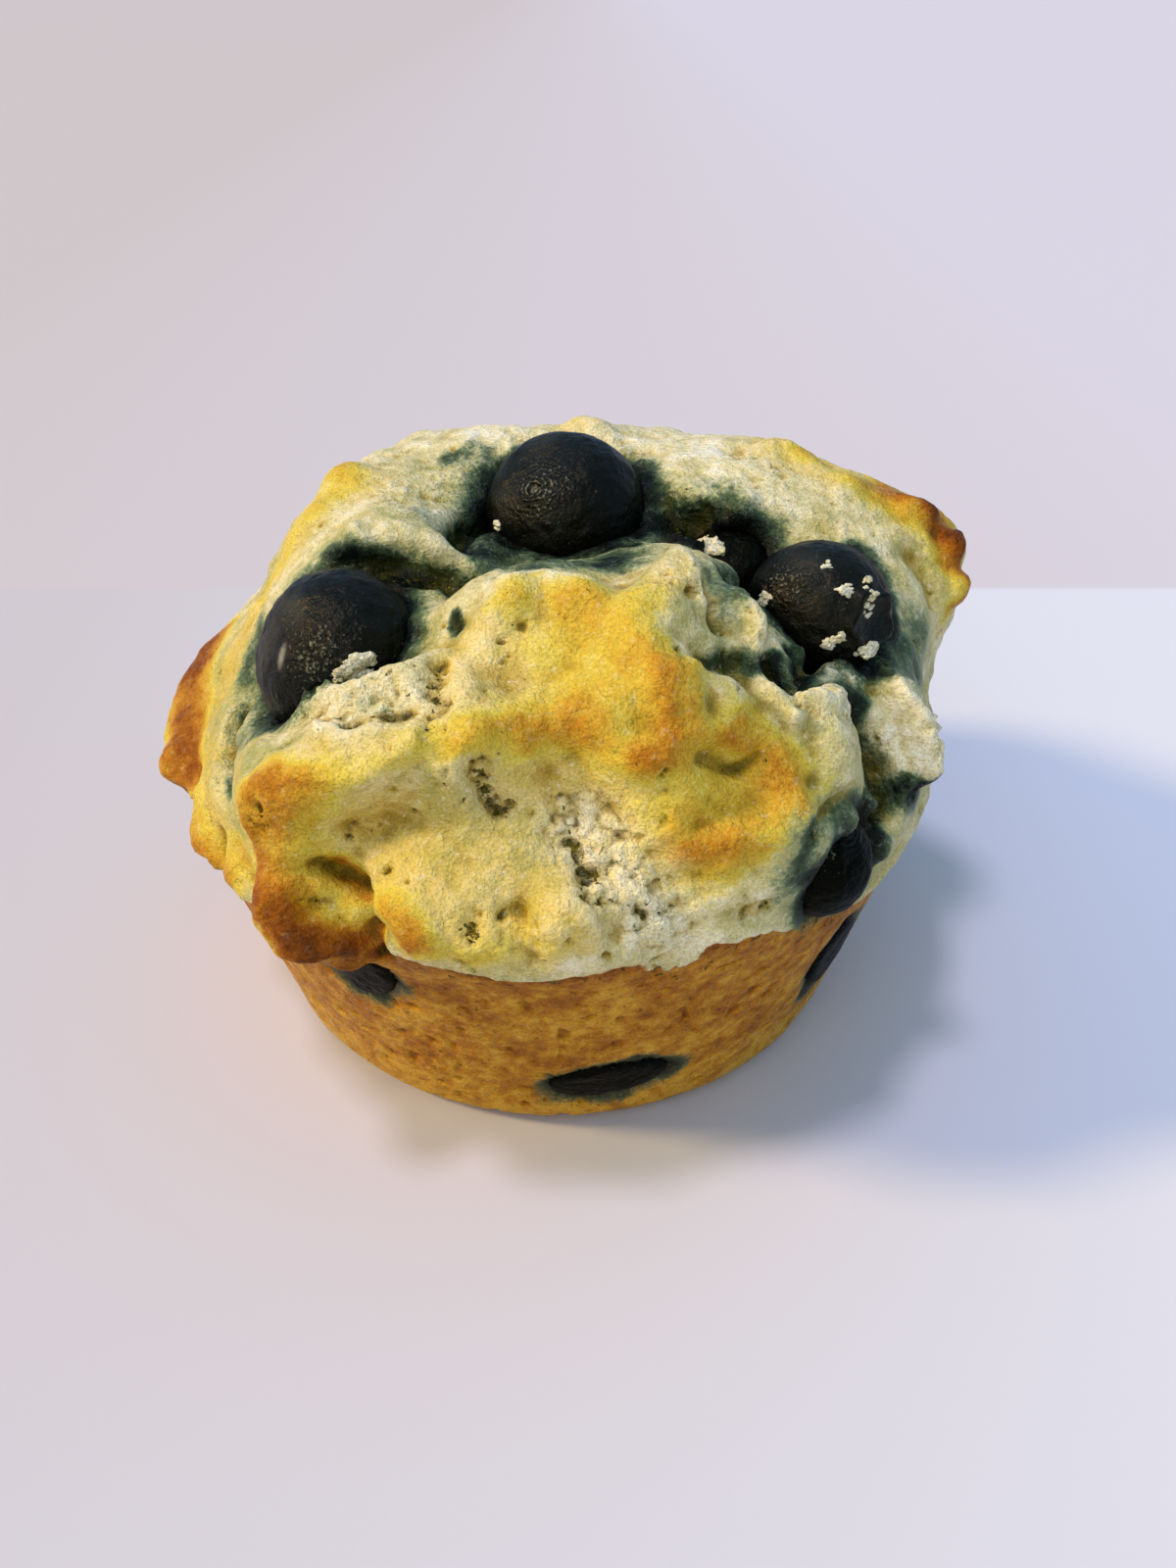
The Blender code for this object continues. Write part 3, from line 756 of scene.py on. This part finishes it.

# Juice that ran beyond the berries' own rings. A stroke in the valley left of the rim berry darkens that
# valley as painted shade.
JUICE = [
    ([(-153, 0.66), (-145, 0.71), (-137, 0.76)], 3.2, 0.62),
    ([(-134, 0.78), (-125, 0.79)], 2.4, 0.5),
    ([(-150, 0.68), (-145, 0.68)], 1.6, 0.7),
    ([(3, 0.86), (-8, 0.82), (-14, 0.76), (-38, 0.66), (-50, 0.65)], 2.6, 0.97),
    ([(8, 0.86), (0, 0.78)], 4.0, 0.3),
    ([(172, 0.93), (-170, 0.9), (-150, 0.875), (-138, 0.85)], 2.8, 0.97),
    ([(165, 0.9), (-175, 0.86), (-150, 0.82)], 3.6, 0.2),
    ([(-165, 0.5), (-150, 0.3), (-140, 0.22)], 4.0, 0.22),
    ([(-160, 0.2), (-142, 0.12)], 3.0, 0.14),
    ([(-110, 0.8), (-90, 0.77), (-78, 0.78)], 3.0, 0.42),
    ([(-130, 0.91), (-100, 0.91), (-72, 0.91)], 3.4, 0.66),
    ([(-126, 0.79), (-110, 0.75), (-95, 0.735), (-80, 0.76), (-66, 0.8)], 2.6, 0.36),
    ([(-30, 0.87), (-18, 0.84)], 2.4, 0.8),
    ([(-125, 0.86), (-100, 0.83), (-84, 0.81), (-74, 0.84)], 3.0, 0.44),
    ([(-66, 0.82), (-54, 0.85), (-45, 0.87), (-45, 0.91)], 3.2, 0.45),
    ([(-72, 0.76), (-55, 0.78)], 3.4, 0.45),
    ([(-57, 0.645), (-56, 0.59), (-61, 0.555)], 2.4, 0.34),
    ([(-66, 0.51), (-61, 0.5), (-58, 0.5)], 1.7, 0.62),
    ([(-54, 0.49), (-53, 0.45), (-50, 0.44), (-46, 0.44)], 2.0, 1.0),
    ([(-48, 0.5), (-40, 0.46), (-30, 0.45)], 1.4, 0.85),
    ([(-59, 0.17), (-60.5, 0.11), (-59, 0.05)], 1.3, 0.45),
    ([(-60, 0.21), (-63, 0.12), (-63, 0.03)], 3.0, 0.2),
    ([(-149, 0.25), (-142, 0.18), (-135, 0.16)], 1.4, 0.6),
    ([(-160, 0.44), (-156, 0.34)], 2.4, 0.35),
    ([(-42, 0.36), (-42, 0.27), (-41, 0.18), (-41, 0.08)], 2.8, 0.92),
    ([(-27, 0.38), (-14, 0.46), (-10, 0.52)], 2.6, 0.8),
    ([(-30, 0.34), (-22, 0.28), (-14, 0.3)], 4.4, 0.38),
    ([(-36, 0.08), (-32, 0.05)], 3.0, 0.8),
    ([(-56, 0.6), (-50, 0.6)], 2.2, 0.3),
    ([(-96, 0.24), (-88, 0.19), (-86, 0.14)], 3.4, 0.12),
    ([(-55, 0.14), (-58, 0.06)], 3.2, 0.4),
    ([(-114, 0.43), (-108, 0.41)], 2.2, 0.22),
    ([(142, 0.83), (130, 0.84)], 2.2, 0.45),
    ([(-108, 0.635), (-106, 0.615)], 1.1, 1.0),
]

# The lower edge of the crown round the wall: azimuth and height
EDGE = [
    (-180, 24.6), (-165, 24.0), (-150, 24.8), (-140, 24.0), (-132, 22.8), (-120, 24.2), (-112, 23.4),
    (-107, 24.6), (-100, 24.2), (-94, 23.7), (-86, 24.2), (-79.5, 24.2), (-78, 22.0), (-73, 22.2),
    (-71, 24.6), (-65, 24.4), (-60, 23.0), (-49, 20.8), (-40, 19.2), (-32, 22.0), (-20, 24.4),
    (10, 24.0), (40, 25.0), (70, 23.8), (100, 24.8), (130, 23.6), (160, 24.8), (180, 24.6),
]


def on_surface(tree, azimuth, rise):
    """The address on the worked crumb."""
    place, outward = plain_place(azimuth, rise)
    hit = tree.ray_cast(place + outward * 9, -outward, 16)[0]
    return np.array(hit if hit is not None else place)


def strokes_on(tree, strokes):
    for line, reach, strength in strokes:
        yield [on_surface(tree, *address) for address in line], reach, strength


def painted_by(places, tree, strokes):
    """How strongly the strokes cover each place, from 0 to 1."""
    total = np.zeros(len(places))
    for line, reach, strength in strokes_on(tree, strokes):
        total = 1 - (1 - total) * (1 - strength * fading(from_line(places, line), reach))
    return total


def wandering(places, amounts):
    """The places, strayed by noise of each size, so that what is measured from them has ragged edges."""
    strayed = places.copy()
    for size, amount in amounts:
        strayed += amount * np.array([noise.noise_vector(Vector(p) / size) for p in places])
    return strayed


def berry_distances(places, berries, reach):
    """Each place's distance to the nearest berry within reach, under 0 inside it, and the way out of it."""
    distance = np.full(len(places), reach * 1.0)
    away = np.zeros((len(places), 3))
    for berry in berries:
        low, high = berry.places.min(0) - reach, berry.places.max(0) + reach
        near = np.nonzero(((places > low) & (places < high)).all(axis=1))[0]
        tree = berry.tree()
        for i in near:
            hit, normal, _, far = tree.find_nearest(Vector(places[i]), reach)
            if hit is not None:
                outside = 1 if (Vector(places[i]) - hit).dot(normal) > 0 else -1
                if far * outside < distance[i]:
                    distance[i] = far * outside
                    away[i] = normal
    return distance, away


def above_edge(places):
    """Each place's height over the crown's lower edge, which wavers."""
    azimuth = np.degrees(np.arctan2(places[:, 1], places[:, 0]))
    edge = np.interp(azimuth, [a for a, _ in EDGE], [h for _, h in EDGE])
    return places[:, 2] - edge - 0.35 * grain(places * (1, 1, 0.2), 2.6)


def fold(clay):
    """Works the crown's folds and cracks, sharper than the solid's, and makes all of it uneven."""
    places = clay.places
    tree = clay.tree()
    strayed = wandering(places, [(4.0, 0.9), (1.4, 0.35)])
    amount = np.zeros(len(places))
    for line, reach, rise in strokes_on(tree, FOLDS):
        amount += rise * fading(from_line(strayed, line), reach)
    amount -= 0.5 * painted_by(strayed, tree, CRACKS)
    height = places[:, 2]
    crown = past(height, 22.5, 3.0)
    amount += crown * (0.40 * grain(places, 5.0) + 0.30 * grain(places, 3.0) + 0.24 * grain(places, 1.8))
    amount += crown * 0.35 * (0.35 - np.abs(grain(places, 3.6, shift=17.0)))
    amount += (1 - crown) * 0.16 * grain(places, 6.0)
    # the foot stays flat
    amount *= past(height, 0, 1.5)
    clay.push(amount)
    clay.smooth(1)


def overhang(clay):
    """Rolls the crown's lower edge out over the wall."""
    above = above_edge(clay.places)
    over = np.where(above > 0, 0.75 * bell(above, 1.5), -0.40 * bell(above, 1.1))
    over *= 0.75 + 0.5 * grain(clay.places * (1, 1, 0.2), 7.0, shift=5.0)
    flat = clay.places * (1, 1, 0)
    reach = np.linalg.norm(flat, axis=1)
    clay.places = clay.places + np.where(reach > 20, over / np.maximum(reach, 1), 0)[:, None] * flat
    clay.write()


def make_crumb(berries):
    """The baked crumb, folded and then torn, pitted and closed on the berries, with its painted layers."""
    clay = Clay("muffin_crumb", "muffin")
    clay.even(FOLDING_VOXEL)
    near_berry, _ = berry_distances(clay.places, berries, 2.0)
    clay.smooth(16, np.maximum(past(near_berry, 0.2, 1.2), 0.15))
    fold(clay)
    overhang(clay)
    clay.even(TEARING_VOXEL)
    tree = clay.tree()
    places = clay.places.copy()
    strayed = wandering(places, [(3.0, 0.9), (0.9, 0.35)])
    torn, browned, yolk, juice = (
        painted_by(strayed, tree, strokes) for strokes in (TORN, BROWNED, YOLK, JUICE)
    )
    opened = painted_by(wandering(strayed, [(1.2, 0.5)]), tree, CRACKS)
    height = places[:, 2]
    above = above_edge(places)
    on_wall = np.clip(0.5 - (above + 0.25 * grain(places, 1.5)) / 0.5, 0, 1)
    lee = on_wall * bell(np.minimum(above, 0), 3.0)
    near_berry, away = berry_distances(places, berries, BERRY_REACH)
    reached = np.where(near_berry < BERRY_REACH - 0.1, np.clip(near_berry, 0, BERRY_REACH), FAR_OFF)
    # torn crumb and cracks, and fine unevenness on the rest
    crumbs = cell_edges(places, 1.1)
    small_crumbs = cell_edges(places, 0.6)
    amount = torn * (0.22 - 0.35 * crumbs**2 - 0.30 * small_crumbs + 0.40 * grain(places, 1.7, shift=61.0))
    amount += torn * (0.30 * grain(places, 0.9, shift=63.0) - 0.25 * past(ridged(places, 2.2), 0.9, 1))
    amount -= np.minimum(opened, 1) * (0.12 + 0.60 * crumbs**2)
    amount += (1 - torn) * (1 - on_wall) * 0.09 * grain(places, 0.9)
    # wrinkles round the wall, just under the crown
    amount += lee * 0.22 * grain(places * (1, 1, 4.5), 4.0, shift=41.0)
    # the crumb is ragged where berries broke through it
    lip = bell(reached - 1.1, 0.9) * (1 - on_wall)
    amount += lip * (0.40 * grain(places, 2.6, shift=23.0) - 0.25 * small_crumbs * torn + 0.05)
    # open pores in the pale crumb, more of them in front, and pits in the wall
    pores = past(grain(places, 1.1, shift=11.0) + 0.5 * grain(places, 0.6, shift=13.0), 0.56, 0.25)
    amount -= (1 - browned) * (1 - on_wall) * np.clip(0.24 - places[:, 1] * 0.008, 0.1, 0.4) * pores
    pits = past(grain(places, 1.3, shift=31.0), 0.34, 0.3)
    amount -= on_wall * (0.30 * pits + 0.05 * grain(places, 0.7))
    amount *= past(height, 0, 1.0)
    clay.push(amount)
    # the crumb closes on each berry
    closing = 0.55 + on_wall * (0.5 + 1.2 * np.clip(grain(places, 1.4, shift=51.0) + 0.1, 0, 1))
    touching = 1 - past(reached, 0.30, 0.9)
    clay.places = clay.places - away * (closing * touching)[:, None]
    clay.write()
    # what lies deep, more than 0, and what stands proud, less than 0
    soft = clay.averaged(clay.places, 14)
    fine = ((soft - clay.places) * clay.normals).sum(axis=1)
    softer = clay.averaged(soft, 60)
    broad = ((softer - clay.places) * clay.normals).sum(axis=1)
    hollow = np.clip(fine / 0.35, -1, 1) * 0.7 + np.clip(broad / 1.2, -1, 1) * 0.5
    # a ring of juice round each berry, with a wide weak halo, in blotches
    ring = bell(reached, 1.5 - 0.4 * on_wall + 0.8 * grain(places, 3.0, shift=71.0)) * 0.95
    halo = 0.20 * bell(reached, 3.0) * (1 - on_wall)
    juice = 1 - (1 - juice) * (1 - ring) * (1 - halo)
    blotches = 1 + 0.55 * grain(places, 3.0, shift=81.0) + 0.35 * grain(places, 1.2, shift=81.0)
    juice = np.clip(juice * blotches, 0, 1)
    # browning takes what stands proud first
    browned = np.clip(browned + 0.20 * np.clip(-broad / 0.8, -0.5, 1) * (browned > 0.08), 0, 1)
    browned += 0.11 * grain(places, 3.2) + 0.10 * grain(places, 1.1)
    # how creamy the pale crumb is, and how light the wall: darker just under the crown's edge and on the
    # crown's left-facing slopes in front, both painted shade
    cream = (0.29 + 0.20 * grain(places, 7.0, shift=91.0)) * (1 - on_wall) + on_wall * (0.32 - 0.10 * lee)
    cream += 0.14 * on_wall * np.clip((9 - height) / 6, 0, 1)
    cream += 0.20 * grain(places, 2.8, shift=91.0)
    in_front = np.clip(0.5 - places[:, 1] / 24, 0, 1)
    # painted shade on left-facing slopes in front, where the window light falls strongest
    cream -= 0.45 * in_front * (1 - on_wall) * np.clip(-clay.normals[:, 0] - 0.40, 0, 1)
    cream += 0.07 * (1 - in_front) * (1 - on_wall)
    clay.paint("browned", browned)
    clay.paint("juice", juice)
    clay.paint("torn", torn)
    clay.paint("yolk", 0.10 + 0.90 * yolk)
    clay.paint("wall", on_wall)
    clay.paint("hollow", hollow)
    clay.paint("cream", cream)
    clay.paint("open", opened + on_wall * (0.35 * lee + 0.15) + 0.25 * torn)
    clay.thin(MOST_TRIANGLES)
    return clay


# ------------------------------ the berries

SPOTS = ("crown", "left", "right", "tucked", "rim", "foot", "lip", "flank", "heel", "back")
BERRIES = ["berry_" + spot for spot in SPOTS]

# The berries with a shine. The others, sunk in the crumb, get a duller copy of the skin: painted shade.
GLOSSY = ("berry_crown", "berry_left", "berry_right")

# Where the stem left a berry, as a direction from its middle, and whether sepals show there instead
MARKS = {
    "berry_crown": ((-0.40, -0.71, 0.60), False),
    "berry_right": ((0.62, -0.76, 0.20), True),
    "berry_rim": ((0.28, -0.26, 0.92), False),
}

# Where a berry's skin is most wrinkled and shows painted glints, round where the window light is reflected: a
# direction, and how far round it in millimetres
GLINTS = {
    "berry_crown": ((-0.32, -0.69, 0.64), 3.8),
    "berry_left": ((-0.02, -0.86, 0.50), 3.6),
    "berry_right": ((-0.60, -0.45, 0.66), 3.0),
    "berry_rim": ((-0.10, -0.70, 0.68), 2.0),
}

# Where the pale waxy bloom is left, and painted sheen where the window light is reflected; the first, a small
# bright oval, is a painted highlight: the berry, a direction, half the patch's width and height, how pale it
# is
WAX_AND_SHEEN = [
    ("berry_left", (-0.54, -0.74, 0.40), 0.42, 1.0, 0.9),
    ("berry_left", (-0.45, -0.30, 0.85), 2.6, 1.6, 0.10),
    ("berry_left", (-0.85, -0.35, 0.40), 1.5, 3.6, 0.10),
    ("berry_crown", (-0.70, -0.50, 0.30), 1.8, 1.8, 0.05),
    ("berry_crown", (-0.30, 0.10, 0.95), 3.0, 1.6, 0.05),
    ("berry_right", (-0.30, -0.30, 0.90), 2.0, 1.4, 0.07),
]


def round_off(places, middle, way):
    """Each place's reach along the skin from that way, in millimetres: across, up and in all."""
    out = places - middle
    reach = np.linalg.norm(out, axis=1)
    way = np.array(way) / np.linalg.norm(way)
    side = np.cross(way, (0, 0, 1))
    side /= np.linalg.norm(side)
    arc = np.arccos(np.clip(out @ way / reach, -1, 1)) * reach
    across, up = out @ side, out @ np.cross(side, way)
    flat = np.maximum(np.hypot(across, up), 1e-6)
    return across / flat * arc, up / flat * arc, arc


def make_berry(node):
    """A berry drawn in a little by baking, wrinkled and marked, and large enough to fill its socket."""
    clay = Clay(node + "_skin", node)
    clay.even(BERRY_VOXEL)
    clay.smooth(16)
    clay.push(np.full(len(clay.places), 0.08))
    places = clay.places.copy()
    amount = 0.16 * grain(places, 4.5, shift=3.0) + 0.07 * grain(places, 1.5, shift=3.0)
    amount -= 0.10 * past(ridged(places, 2.4), 1.1, 1)
    amount += 0.03 * grain(places, 0.5)
    bloom = 0.5 * np.clip(grain(places, 3.4, shift=9.0), 0, 1)
    scar = np.full(len(places), FAR_OFF)
    glint = np.zeros(len(places))
    wax_and_sheen = np.zeros(len(places))
    middle = (places.min(0) + places.max(0)) / 2
    if node in GLINTS:
        way, reach = GLINTS[node]
        glint = fading(round_off(places, middle, way)[2] + 0.5 * grain(places, 1.5), reach)
    for name, way, wide, tall, pale in WAX_AND_SHEEN:
        if name == node:
            across, up, _ = round_off(places, middle, way)
            wax_and_sheen = np.maximum(wax_and_sheen, pale * fading(np.hypot(across / wide, up / tall), 1.25))
    if node in MARKS:
        way, sepals = MARKS[node]
        across, up, arc = round_off(places, middle, way)
        arc = arc + 0.15 * grain(places, 1.2)
        if sepals:
            # five blunt sepals in a ring of 2 mm, round a hollow
            star = np.cos(5 * np.arctan2(up, across))
            ring = bell(arc - 2.0 - 0.25 * star, 0.34)
            amount += 0.42 * ring * (0.7 + 0.3 * star) - 0.7 * fading(arc, 2.0)
            bloom += 0.8 * fading(arc, 2.6)
        else:
            # a dimple with a raised rim
            amount += 0.08 * bell(arc - 0.75, 0.25) - 0.22 * fading(arc, 0.5)
            scar = arc
    clay.push(amount)
    clay.paint("bloom", np.clip(bloom, 0, 1))
    clay.paint("wax_and_sheen", wax_and_sheen)
    clay.paint("scar", scar)
    clay.paint("glint", glint)
    return clay


# Crumbs stuck to the berries: the berry, the way from its middle, how far they lie about, how many, how large
BITS = [
    ("berry_left", (0.36, -0.86, 0.34), 1.0, 7, 0.42),
    ("berry_left", (0.20, -0.92, 0.26), 0.7, 4, 0.36),
    ("berry_left", (0.47, -0.85, 0.24), 0.6, 4, 0.36),
    ("berry_left", (-0.02, -0.97, -0.05), 0.9, 5, 0.32),
    ("berry_right", (-0.02, -0.45, 0.89), 0.5, 3, 0.20),
    ("berry_right", (0.18, -0.74, 0.64), 0.6, 5, 0.22),
    ("berry_right", (0.50, -0.60, 0.62), 0.9, 6, 0.20),
    ("berry_right", (0.56, -0.73, 0.39), 0.7, 5, 0.20),
    ("berry_right", (0.06, -1.00, 0.03), 0.8, 6, 0.30),
    ("berry_right", (0.55, -0.80, -0.15), 1.3, 9, 0.34),
    ("berry_right", (-0.82, -0.40, 0.38), 0.5, 5, 0.26),
    ("berry_tucked", (-0.65, -0.30, 0.85), 1.2, 9, 0.46),
    ("berry_tucked", (-0.85, -0.50, 0.65), 0.8, 6, 0.40),
    ("berry_crown", (-0.80, -0.55, 0.05), 0.4, 3, 0.22),
]


def make_bits(berries):
    """The crumbs stuck to the berries, as one piece: small torn flakes lying against the skin."""
    named = {clay.node: clay for clay in berries}
    shape = bmesh.new()
    for node, way, spread, count, size in BITS:
        clay = named[node]
        middle = Vector((clay.places.min(0) + clay.places.max(0)) / 2)
        tree = clay.tree()
        way = Vector(way).normalized()
        first = tree.ray_cast(middle + way * 12, -way, 14)[0]
        for i in range(count):
            stray = noise.random_unit_vector() * spread * math.sqrt((i + 0.3) / count)
            hit, outward, _, _ = tree.find_nearest(first + stray)
            turn = outward.to_track_quat("Z", "Y").to_matrix()
            half = size * (0.6 + 0.9 * noise.random()) * Vector((1.0 + 0.6 * noise.random(), 0.9, 0.6))
            lump = bmesh.ops.create_icosphere(shape, subdivisions=3, radius=1.0)
            for corner in lump["verts"]:
                point = corner.co.copy()
                rough = 1 + 0.7 * noise.noise(point * 1.3 + hit) + 0.45 * noise.noise(point * 3.1 + hit)
                point = Vector((point.x * half.x, point.y * half.y, point.z * half.z))
                corner.co = hit + turn @ (point * rough)
    mesh = bpy.data.meshes.new("crumb_bits")
    shape.to_mesh(mesh)
    shape.free()
    mesh.transform(Matrix.Scale(MM, 4))
    bits = bpy.data.objects.new("crumb_bits", mesh)
    bpy.context.scene.collection.objects.link(bits)
    for name, value in (("torn", 0.8), ("juice", 0.10), ("cream", 0.6)):
        layer = mesh.attributes.new(name, "FLOAT", "POINT")
        layer.data.foreach_set("value", [value] * len(mesh.vertices))
    mesh.shade_smooth()
    return bits


# ------------------------------ the muffin

add_camera()
add_light()
add_floor()
berries = [make_berry(node) for node in BERRIES]
crumb = make_crumb(berries)
# the crumbs' own draws start here, whatever was drawn before them
noise.seed_set(SEED)
bits = make_bits(berries)
skin = berry_skin("berry_skin", 0.28)
# a duller copy of the skin for the berries sunk in the crumb: its lower gloss is painted shade
soaked = berry_skin("berry_skin_shaded", 0.08)
for berry in berries:
    berry.finish(skin if berry.node in GLOSSY else soaked, "berry_skin")
baked = baked_crumb()
bits.data.materials.append(baked)
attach(bits, "root")
crumb.finish(baked, "crust")
